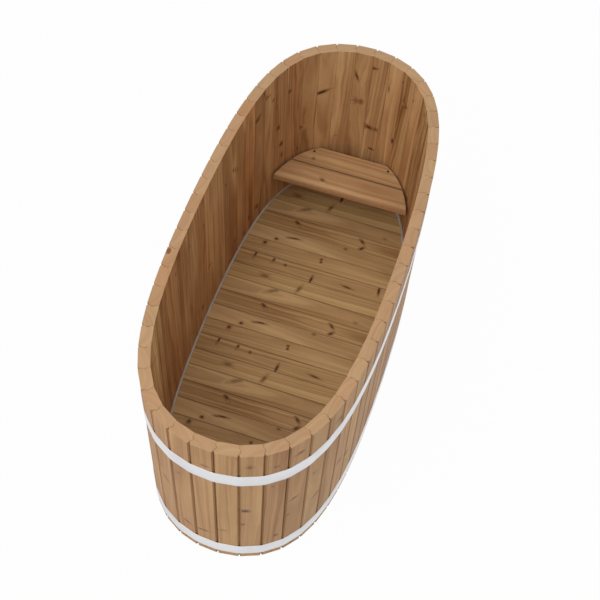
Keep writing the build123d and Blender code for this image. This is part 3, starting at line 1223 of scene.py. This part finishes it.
@dataclass
class Fitting:
    """A metal, rubber or plastic piece made from a whole node with its edges eased.

    Attributes:
        node: The node that it stands for.
        name: Name of the piece.
        ease: Rounding of its edges.
        segments: Strips in the rounding.
        body: Body that it moves with.
        whole_flats: Whether its flat faces are joined, which a thin ring doesn't allow.
    """

    node: str
    name: str
    ease: float = 0.0004
    segments: int = 2
    body: Body = Body.TUB
    whole_flats: bool = True

    def build(self, material: bpy.types.Material, slot: str) -> None:
        """Makes the piece, or one for each solid of its node.

        Args:
            material: Its material.
            slot: Not used.
        """
        solids = solids_of(self.node, self.whole_flats)
        for number, solid in enumerate(sorted(solids, key=lambda solid: tuple(middle_of(solid))), 1):
            ease_edges(solid, self.ease, self.segments)
            name = self.name if len(solids) == 1 else f"{self.name}_{number}"
            seat_piece(make_piece(solid, name, material, 28.0), self.node, body=self.body)


@dataclass
class Hoop:
    """A flat metal strip round the staves, bent over each joint.

    Attributes:
        node: The node that it stands for.
        name: Name of the piece.
        bend: Length of each bend on either side of a joint.
        bend_strips: Number of strips in a bend.
        ease: Rounding of its edges.
    """

    node: str
    name: str
    bend: float = 0.013
    bend_strips: int = 5
    ease: float = 0.0005

    def build(self, material: bpy.types.Material, slot: str) -> None:
        """Makes the hoop.

        Args:
            material: Its material.
            slot: Not used.
        """
        solid = solids_of(self.node)[0]

        def upright(edge: bmesh.types.BMEdge) -> bool:
            """Whether an edge is one of the shallow bends."""
            run = edge.verts[0].co - edge.verts[1].co
            return abs(run.normalized().z) > 0.9 and edge.calc_face_angle(0.0) < math.radians(40)

        ease_edges(solid, self.bend, self.bend_strips, 0.6, upright)
        ease_edges(solid, self.ease, 2, 45.0)
        seat_piece(make_piece(solid, self.name, material, 30.0), self.node)


@dataclass
class ClampBolts:
    """The hexagon bolts of the clamps, with a real thread.

    Attributes:
        node: The node that they stand for.
        head_height: Height of the head.
        flats: Width across the flats of the head.
        radius: Radius over the thread.
        pitch: Pitch of the thread.
        thread_depth: Depth of the thread.
        point_length: Length of the taper at the bolt's end.
        point_depth: Depth of that taper.
        overlap: How far the rod reaches into the head.
        facets: Number of facets around the thread.
        head_facets: Number of facets around the head.
        turn_steps: Rings in one turn of the thread.
    """

    node: str = "hoop_bolts"
    head_height: float = 0.0064
    flats: float = 0.017
    radius: float = 0.005
    pitch: float = 0.0015
    thread_depth: float = 0.0007
    point_length: float = 0.0012
    point_depth: float = 0.0011
    overlap: float = 0.0005
    facets: int = 40
    head_facets: int = 48
    turn_steps: int = 6

    def thread(self, mesh: bmesh.types.BMesh, place: Matrix, start: float, end: float) -> None:
        """Adds a threaded rod to a mesh.

        Args:
            mesh: The mesh to add to.
            place: Matrix from the bolt's own axes, Z along it.
            start: Where the rod starts along the bolt.
            end: Where it ends.
        """
        steps = int((end - start) / self.pitch * self.turn_steps)
        rings = []
        for step in range(steps + 1):
            height = start + (end - start) * step / steps
            taper = max(0.0, (height - (end - self.point_length)) / self.point_length)
            phases = [(height / self.pitch - facet / self.facets) % 1.0 for facet in range(self.facets)]
            cuts = [self.thread_depth * abs(2 * phase - 1) for phase in phases]
            reaches = [self.radius - max(cut, taper * self.point_depth) for cut in cuts]
            rings.append(ring_of(mesh, place, height, reaches))
        skin_rings(mesh, rings)

    def head(self, mesh: bmesh.types.BMesh, place: Matrix) -> None:
        """Adds a hexagon head with a turned top to a mesh.

        Args:
            mesh: The mesh to add to.
            place: Matrix from the bolt's own axes, with the head's top at zero.
        """
        corner = self.flats / 2 / math.cos(math.pi / 6)
        profile = ((0.0, self.flats / 2 * 0.96), (0.0009, corner), (self.head_height, corner))
        angles = [2 * math.pi * facet / self.head_facets for facet in range(self.head_facets)]
        from_flat = [(angle + math.pi / 6) % (math.pi / 3) - math.pi / 6 for angle in angles]
        sides = [self.flats / 2 / math.cos(angle) for angle in from_flat]
        rings = []
        for height, radius in profile:
            rings.append(ring_of(mesh, place, height, [min(radius, side) for side in sides]))
        skin_rings(mesh, rings)

    def build(self, material: bpy.types.Material, slot: str) -> None:
        """Makes the bolts.

        Args:
            material: Their material.
            slot: Not used.
        """
        solids = sorted(solids_of(self.node), key=lambda solid: middle_of(solid).z)
        for number, solid in enumerate(solids, 1):
            top = max(solid.faces, key=lambda face: face.calc_area())
            axis = -top.normal.normalized()
            start = top.calc_center_bounds()
            flat_side = (top.verts[0].co - start).normalized().cross(axis)
            turned = (Matrix.Rotation(math.pi / 6, 3, axis) @ flat_side).normalized()
            side = axis.cross(turned)
            place = Matrix((turned, side, axis)).transposed().to_4x4()
            place.translation = start
            length = max((vertex.co - start).dot(axis) for vertex in solid.verts)
            solid.free()
            bolt = bmesh.new()
            self.head(bolt, place)
            self.thread(bolt, place, self.head_height - self.overlap, length)
            bmesh.ops.recalc_face_normals(bolt, faces=bolt.faces)
            seat_piece(make_piece(bolt, f"clamp_bolt_{number}", material, 25.0), self.node)


@dataclass
class SeatScrews:
    """The countersunk screws in the seat's back board, with a cross recess.

    Attributes:
        node: The node that they stand for.
        head_radius: Radius of the head.
        head_height: Height of the cone under it.
        shank_radius: Radius of the shank.
        recess_length: Length of the recess.
        recess_width: Width of the recess.
        recess_depth: Depth of the recess.
        recess_taper: Width of the recess at its bottom, as a share of that at its top.
        point_length: Length of the screw's point.
        facets: Number of facets around the screw.
    """

    node: str = "seat_screws"
    head_radius: float = 0.005
    head_height: float = 0.003
    shank_radius: float = 0.0025
    recess_length: float = 0.0052
    recess_width: float = 0.0013
    recess_depth: float = 0.0016
    recess_taper: float = 0.6
    point_length: float = 0.006
    facets: int = 40

    def body(self, top: Vector, length: float) -> bpy.types.Object:
        """The turned body of a screw.

        Args:
            top: Middle of the head's top.
            length: Whole length.

        Returns:
            The body as an object of its own.
        """
        mesh = bmesh.new()
        profile = (
            (0.0, self.head_radius - 0.0002),
            (-0.0002, self.head_radius),
            (-self.head_height, self.shank_radius),
            (-length + self.point_length, self.shank_radius),
            (-length, 0.0006),
        )
        place = Matrix.Translation(top)
        rings = [ring_of(mesh, place, height, [radius] * self.facets) for height, radius in profile]
        skin_rings(mesh, rings[::-1])
        return add_object("screw_body", mesh_of(mesh, "screw_body"))

    def cutter(self, top: Vector, turn: float) -> bpy.types.Object:
        """The cross that is pressed into the head.

        Args:
            top: Middle of the head's top.
            turn: How far the screw has been turned, in radians.

        Returns:
            The cutter as an object of its own.
        """
        half, arm = self.recess_width / 2, self.recess_length / 2
        quarter = [Vector((half, half)), Vector((half, arm)), Vector((-half, arm))]
        outline = [Matrix.Rotation(math.pi / 2 * side, 2) @ point for side in range(4) for point in quarter]
        spin = Matrix.Rotation(turn, 3, "Z")
        mesh = bmesh.new()
        rings = []
        for height, share in ((-self.recess_depth, self.recess_taper), (0.001, 1.0)):
            points = [Vector((x * share, y * share, height)) for x, y in outline]
            rings.append([mesh.verts.new(top + spin @ point) for point in points])
        skin_rings(mesh, rings)
        bmesh.ops.recalc_face_normals(mesh, faces=mesh.faces)
        return add_object("screw_cutter", mesh_of(mesh, "screw_cutter"))

    def build(self, material: bpy.types.Material, slot: str) -> None:
        """Makes the screws.

        Args:
            material: Their material.
            slot: Not used.
        """
        solids = sorted(solids_of(self.node), key=lambda solid: middle_of(solid).x)
        for number, solid in enumerate(solids, 1):
            middle = middle_of(solid)
            high = max(vertex.co.z for vertex in solid.verts)
            low = min(vertex.co.z for vertex in solid.verts)
            solid.free()
            top = Vector((middle.x, middle.y, high))
            screw, cutter = self.body(top, high - low), self.cutter(top, 0.5 * number)
            pressing = screw.modifiers.new("recess", "BOOLEAN")
            pressing.operation = "DIFFERENCE"
            pressing.solver = "EXACT"
            pressing.object = cutter
            pressed = screw.evaluated_get(bpy.context.evaluated_depsgraph_get())
            made = bmesh.new()
            made.from_mesh(bpy.data.meshes.new_from_object(pressed))
            bpy.data.objects.remove(screw)
            bpy.data.objects.remove(cutter)
            seat_piece(make_piece(made, f"seat_screw_{number}", material, 30.0), self.node)


@dataclass
class Studio:
    """A pale floor, soft light from above and the left, and the camera.

    Attributes:
        lens: Focal length, in millimetres.
        stand: Place of the camera.
        azimuth: How far it stands round the tub, in degrees.
        elevation: How far it looks down, in degrees.
        roll: How far it is turned about its line of sight, in degrees.
        sky_low: Strength of the sky at the horizon.
        sky_high: Strength of the sky overhead.
        key_power: Power of the main lamp, in watts.
        key_place: Place of the main lamp.
        key_size: Size of the main lamp.
        floor_radius: Radius of the floor.
        paper: Share of plain white in the floor that the camera sees.
    """

    lens: float = 65.526
    stand: tuple[float, float, float] = (0.5224, -2.0431, 3.596)
    azimuth: float = 13.89
    elevation: float = 57.12
    roll: float = 4.83
    sky_low: float = 0.34
    sky_high: float = 1.18
    key_power: float = 89.0
    key_place: tuple[float, float, float] = (-1.5, -3.4, 4.8)
    key_size: float = 2.2
    floor_radius: float = 14.0
    paper: float = 0.97

    def camera(self) -> None:
        """Sets up the camera."""
        az, el, roll = (math.radians(angle) for angle in (self.azimuth, self.elevation, self.roll))
        back = Vector((math.sin(az) * math.cos(el), -math.cos(az) * math.cos(el), math.sin(el)))
        right = Vector((math.cos(az), math.sin(az), 0.0))
        over = back.cross(right)
        side = right * math.cos(roll) + over * math.sin(roll)
        top = over * math.cos(roll) - right * math.sin(roll)
        place = Matrix((side, top, back)).transposed().to_4x4()
        place.translation = Vector(self.stand)
        data = bpy.data.cameras.new("view")
        data.lens = self.lens
        data.sensor_width = SENSOR_WIDTH
        data.sensor_fit = "HORIZONTAL"
        data.clip_end = 100.0
        camera = add_object("view", data)
        camera.matrix_world = place
        bpy.context.scene.camera = camera

    def seen_plain(self, sheet_tree: bpy.types.NodeTree) -> Socket:
        """Whether a ray comes from the camera, a reflection or a see-through surface.

        Args:
            sheet_tree: The node tree to add to.

        Returns:
            1 for such a ray.
        """
        rays = sheet_tree.nodes.new("ShaderNodeLightPath")
        first = sheet_tree.nodes.new("ShaderNodeMath")
        first.operation = "MAXIMUM"
        sheet_tree.links.new(rays.outputs["Is Camera Ray"], first.inputs[0])
        sheet_tree.links.new(rays.outputs["Is Glossy Ray"], first.inputs[1])
        second = sheet_tree.nodes.new("ShaderNodeMath")
        second.operation = "MAXIMUM"
        sheet_tree.links.new(first.outputs[0], second.inputs[0])
        sheet_tree.links.new(rays.outputs["Is Transmission Ray"], second.inputs[1])
        return second.outputs[0]

    def world(self) -> None:
        """Sets up an even sky, plain white where it is seen."""
        world = bpy.data.worlds.new("sky")
        bpy.context.scene.world = world
        world.use_nodes = True
        tree = world.node_tree
        lit = tree.nodes["Background"]
        lit.inputs["Color"].default_value = (1.0, 0.99, 0.97, 1.0)
        direction = tree.nodes.new("ShaderNodeTexCoord")
        height = tree.nodes.new("ShaderNodeSeparateXYZ")
        tree.links.new(direction.outputs["Generated"], height.inputs[0])
        brighter = tree.nodes.new("ShaderNodeMapRange")
        tree.links.new(height.outputs[2], brighter.inputs[0])
        brighter.inputs[3].default_value = self.sky_low
        brighter.inputs[4].default_value = self.sky_high
        tree.links.new(brighter.outputs[0], lit.inputs["Strength"])
        seen = tree.nodes.new("ShaderNodeBackground")
        seen.inputs["Color"].default_value = (1.0, 1.0, 1.0, 1.0)
        seen.inputs["Strength"].default_value = 1.0
        mixer = tree.nodes.new("ShaderNodeMixShader")
        tree.links.new(self.seen_plain(tree), mixer.inputs[0])
        tree.links.new(lit.outputs[0], mixer.inputs[1])
        tree.links.new(seen.outputs[0], mixer.inputs[2])
        tree.links.new(mixer.outputs[0], tree.nodes["World Output"].inputs["Surface"])

    def floor(self) -> None:
        """Lays a pale floor that keeps a faint shadow of the tub."""
        mesh = bmesh.new()
        bmesh.ops.create_circle(mesh, cap_ends=True, segments=96, radius=self.floor_radius)
        data = mesh_of(mesh, "studio_floor")
        sheet = NodeSheet("studio_floor")
        tint = sheet.blend(sheet.noise(sheet.here(), 3.0, 2.0), (0.6, 0.6, 0.6, 1.0), (0.56, 0.56, 0.56, 1.0))
        sheet.finish(tint, 0.9, shine=0.1)
        white = sheet.tree.nodes.new("ShaderNodeEmission")
        white.inputs["Color"].default_value = (1.0, 1.0, 1.0, 1.0)
        white.inputs["Strength"].default_value = 1.0
        share = sheet.math("MULTIPLY", self.seen_plain(sheet.tree), self.paper)
        mixer = sheet.tree.nodes.new("ShaderNodeMixShader")
        sheet.tree.links.new(share, mixer.inputs[0])
        sheet.tree.links.new(sheet.shader.outputs[0], mixer.inputs[1])
        sheet.tree.links.new(white.outputs[0], mixer.inputs[2])
        sheet.tree.links.new(mixer.outputs[0], sheet.tree.nodes["Material Output"].inputs["Surface"])
        data.materials.append(sheet.material)
        add_object("studio_floor", data)

    def lamp(self, name: str, place: tuple[float, float, float], size: float, power: float) -> None:
        """Hangs a square lamp that faces the tub.

        Args:
            name: Name of the lamp.
            place: Where it hangs.
            size: Its size.
            power: Its power in watts.
        """
        data = bpy.data.lights.new(name, "AREA")
        data.size = size
        data.energy = power
        light = add_object(name, data)
        aim = Vector((0.0, 0.0, 0.4)) - Vector(place)
        light.rotation_euler = aim.to_track_quat("-Z", "Y").to_euler()
        light.location = place

    def build(self) -> None:
        """Sets up the whole studio."""
        self.camera()
        self.world()
        self.floor()
        self.lamp("key", self.key_place, self.key_size, self.key_power)
        bpy.context.scene.view_settings.view_transform = "Standard"


def stave_knots() -> dict[int, tuple[Knot, ...]]:
    """The knots of the staves whose marks stand out.

    Returns:
        The knots by stave, with heights above the ground.
    """
    return {
        1: (Knot(0.220, -0.017, 0.004, 0.009, 0.1, 0.45),),
        2: (
            Knot(0.404, -0.018, 0.008, 0.012, -0.3, 0.85),
            Knot(0.293, -0.025, 0.006, 0.006, 0.0, 0.55),
            Knot(0.728, -0.006, 0.010, 0.009, 0.0, 0.45),
        ),
        3: (
            Knot(0.153, 0.010, 0.008, 0.008, 0.0, 0.55),
            Knot(0.706, -0.004, 0.008, 0.008, 0.0, 0.35),
            Knot(0.568, -0.009, 0.004, 0.004, 0.0, 0.45),
        ),
        4: (
            Knot(0.408, -0.006, 0.004, 0.011, 0.3, 0.85),
            Knot(0.294, -0.025, 0.005, 0.004, 0.0, 0.6),
            Knot(0.732, -0.001, 0.006, 0.010, 0.2, 0.6),
        ),
        5: (Knot(0.294, 0.014, 0.004, 0.013, 0.5, 0.8), Knot(0.5, -0.01, 0.006, 0.006, 0.0, 0.4)),
        24: (Knot(0.718, 0.030, 0.007, 0.006, 0.0, 0.5),),
        25: (Knot(0.655, -0.004, 0.008, 0.009, 0.0, 0.35),),
        26: (
            Knot(0.431, -0.030, 0.010, 0.006, 0.0, 0.9),
            Knot(0.749, -0.032, 0.006, 0.004, 0.0, 0.5),
            Knot(0.677, 0.023, 0.014, 0.003, 0.0, 0.45),
        ),
        27: (
            Knot(0.745, 0.024, 0.005, 0.010, -0.3, 0.65),
            Knot(0.435, 0.015, 0.008, 0.012, 0.2, 0.75),
            Knot(0.437, -0.012, 0.008, 0.008, 0.0, 0.5),
            Knot(0.321, -0.005, 0.004, 0.010, 0.0, 0.85),
        ),
        28: (
            Knot(0.684, 0.020, 0.020, 0.004, -0.35, 0.75),
            Knot(0.558, 0.011, 0.012, 0.012, 0.0, 0.35),
        ),
        29: (Knot(0.35, 0.012, 0.004, 0.004, 0.0, 0.3),),
        30: (Knot(0.598, 0.014, 0.006, 0.021, -0.36, 0.95), Knot(0.25, -0.02, 0.006, 0.006, 0.0, 0.5)),
        31: (Knot(0.433, 0.024, 0.006, 0.008, 0.0, 0.35),),
        32: (Knot(0.671, 0.027, 0.007, 0.007, 0.0, 0.65), Knot(0.318, -0.026, 0.006, 0.008, 0.0, 0.4)),
        33: (
            Knot(0.520, 0.017, 0.010, 0.008, 0.0, 0.75),
            Knot(0.412, -0.006, 0.010, 0.008, 0.0, 0.85),
            Knot(0.346, -0.011, 0.012, 0.005, 0.0, 0.6),
        ),
        35: (
            Knot(0.694, 0.024, 0.009, 0.014, -0.2, 0.7),
            Knot(0.191, 0.017, 0.008, 0.007, 0.0, 0.85),
            Knot(0.780, -0.029, 0.010, 0.004, 0.0, 0.6),
        ),
        36: (Knot(0.195, 0.004, 0.010, 0.006, 0.0, 0.85),),
        37: (Knot(0.597, 0.033, 0.012, 0.003, 0.0, 0.5), Knot(0.148, -0.020, 0.008, 0.006, 0.0, 0.85)),
        38: (
            Knot(0.631, -0.004, 0.008, 0.004, 0.0, 0.95),
            Knot(0.204, -0.007, 0.008, 0.005, 0.0, 0.75),
            Knot(0.611, -0.022, 0.009, 0.003, 0.0, 0.6),
        ),
        39: (Knot(0.629, -0.008, 0.006, 0.004, 0.0, 0.95), Knot(0.142, -0.023, 0.006, 0.006, 0.0, 0.75)),
        42: (Knot(0.642, -0.030, 0.010, 0.004, 0.0, 0.6), Knot(0.208, 0.017, 0.010, 0.006, 0.0, 0.9)),
        43: (Knot(0.698, 0.029, 0.006, 0.006, 0.0, 0.5), Knot(0.238, -0.016, 0.006, 0.005, 0.0, 0.65)),
        44: (Knot(0.187, -0.030, 0.006, 0.004, 0.0, 0.6),),
        45: (Knot(0.730, 0.013, 0.010, 0.006, 0.0, 0.5),),
        53: (Knot(0.391, -0.006, 0.005, 0.017, -0.7, 0.5),),
        54: (Knot(0.165, 0.003, 0.004, 0.013, -0.45, 0.9), Knot(0.535, -0.013, 0.006, 0.005, 0.0, 0.35)),
        55: (Knot(0.167, -0.012, 0.004, 0.017, 0.1, 0.75), Knot(0.690, 0.007, 0.005, 0.012, 0.0, 0.4)),
    }


def main() -> None:
    """Builds the studio and dresses the tub, piece by piece."""
    logging.basicConfig(level=logging.INFO, format="%(name)s: %(message)s")
    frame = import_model()
    NODES.update(frame["nodes"])
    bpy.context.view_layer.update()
    Studio().build()

    staves = WoodFinish(
        "stave_wood", end_grain=srgb(184, 151, 115), groove_half=0.0045, groove_depth=0.008
    )
    StaveRing(
        staves,
        tones={
            1: 0.0, 2: 0.04, 3: 0.06, 4: 0.12, 5: 0.05, 6: 0.08, 7: 0.0, 8: -0.1, 9: 0.05,
            15: 0.12, 16: -0.1, 17: 0.1, 21: -0.08, 22: 0.16, 23: 0.1, 25: 0.0, 26: -0.08,
            27: -0.06, 28: 0.12, 33: -0.08, 34: -0.05, 35: 0.12, 36: 0.1, 39: -0.06, 40: -0.06,
            41: 0.02, 43: 0.08, 44: 0.07, 45: 0.08, 46: -0.08, 49: -0.14, 52: 0.03, 54: 0.0,
            55: 0.03,
        },
        warmths={1: -0.2, 2: -0.05, 3: 0.0, 4: 0.0, 55: 0.05, 54: 0.1, 53: 0.1},
        knots=stave_knots(),
        rim_marks={45: (-0.018, 0.008)},
    ).build()
    deck = WoodFinish(
        "floor_wood",
        pale=srgb(218, 184, 134),
        deep=srgb(140, 98, 56),
        groove_half=0.0015,
        groove_depth=0.0015,
    )
    FloorDeck(deck).build()

    grain_x, grain_y = Vector((1, 0, 0)), Vector((0, 1, 0))
    seat = WoodFinish("seat_wood", pale=srgb(226, 188, 142), deep=srgb(154, 108, 68), joint_shade=0.5)
    seat_material = seat.material()
    Timber(
        "seat_back_board",
        "seat_board_back",
        seat,
        grain_x,
        grain_y,
        ease=0.0006,
        tone=-0.02,
        warmth=-0.15,
        seed=1,
        knots=(Knot(-0.145, -0.018, 0.006, 0.006, 0.0, 0.5),),
        joint_side=-grain_y,
    ).build(seat_material)
    Timber(
        "seat_front_board",
        "seat_board_front",
        seat,
        grain_x,
        grain_y,
        ease=0.0006,
        tone=-0.02,
        warmth=-0.05,
        seed=2,
        knots=(Knot(-0.08, -0.012, 0.009, 0.006, 0.5, 0.6),),
        joint_side=grain_y,
    ).build(seat_material)
    cleat = WoodFinish("cleat_wood")
    cleat_material = cleat.material()
    for seed, (side, tone, warmth) in enumerate((("left", 0.0, 0.2), ("right", 0.05, 0.0)), 3):
        Timber(
            f"{side}_seat_cleat",
            f"seat_cleat_{side}",
            cleat,
            grain_y,
            grain_x,
            tone=tone,
            warmth=warmth,
            seed=seed,
        ).build(cleat_material)
    bearer = WoodFinish("bearer_wood", pale=srgb(204, 168, 124), roughness=0.8, grain_depth=0.0003)
    bearer_material = bearer.material()
    for seed, side in enumerate(("left", "middle", "right"), 5):
        Timber(
            f"{side}_floor_bearer",
            f"floor_bearer_{side}",
            bearer,
            grain_y,
            grain_x,
            tone=0.03 * seed - 0.18,
            seed=seed,
            knots=(Knot(-0.31, 0.01, 0.01, 0.008), Knot(0.22, -0.012, 0.008, 0.008)),
        ).build(bearer_material)

    strip = StripSteel("hoop_steel")
    strip_material = strip.material()
    Hoop("upper_hoop", "hoop_upper").build(strip_material, strip.name)
    Hoop("lower_hoop", "hoop_lower").build(strip_material, strip.name)
    clamp = StripSteel("clamp_steel", srgb(205, 205, 208), srgb(160, 160, 164), 0.4)
    clamp_material = clamp.material()
    Fitting("hoop_lugs", "clamp_lug", 0.0007).build(clamp_material, clamp.name)
    Fitting("hoop_nuts", "clamp_nut", 0.0006).build(clamp_material, clamp.name)
    ClampBolts().build(clamp_material, clamp.name)
    screw = StripSteel("screw_steel", srgb(92, 80, 70), srgb(54, 44, 38), 0.5)
    SeatScrews().build(screw.material(), screw.name)

    sealant = MouldedFinish("seal_rubber", srgb(178, 176, 172), srgb(150, 147, 142), 0.5)
    bead = Fitting("floor_seal", "floor_seal_bead", 0.0006, whole_flats=False)
    bead.build(sealant.material(), sealant.name)
    rubber = MouldedFinish("plug_rubber", srgb(38, 38, 40), srgb(70, 70, 72), 0.62)
    Fitting("drain_plug", "plug", 0.0012, 3, Body.PLUG).build(rubber.material(), rubber.name)
    drain = StripSteel("drain_steel", srgb(206, 206, 208), srgb(170, 170, 172), 0.32)
    Fitting("drain_body", "drain_pipe", 0.001, 3).build(drain.material(), drain.name)
    nut = MouldedFinish("drain_nut_plastic", srgb(220, 220, 214), srgb(196, 194, 186), 0.5)
    Fitting("drain_nut", "drain_locknut", 0.0012, 3).build(nut.material(), nut.name)


if __name__ == "__main__":
    main()
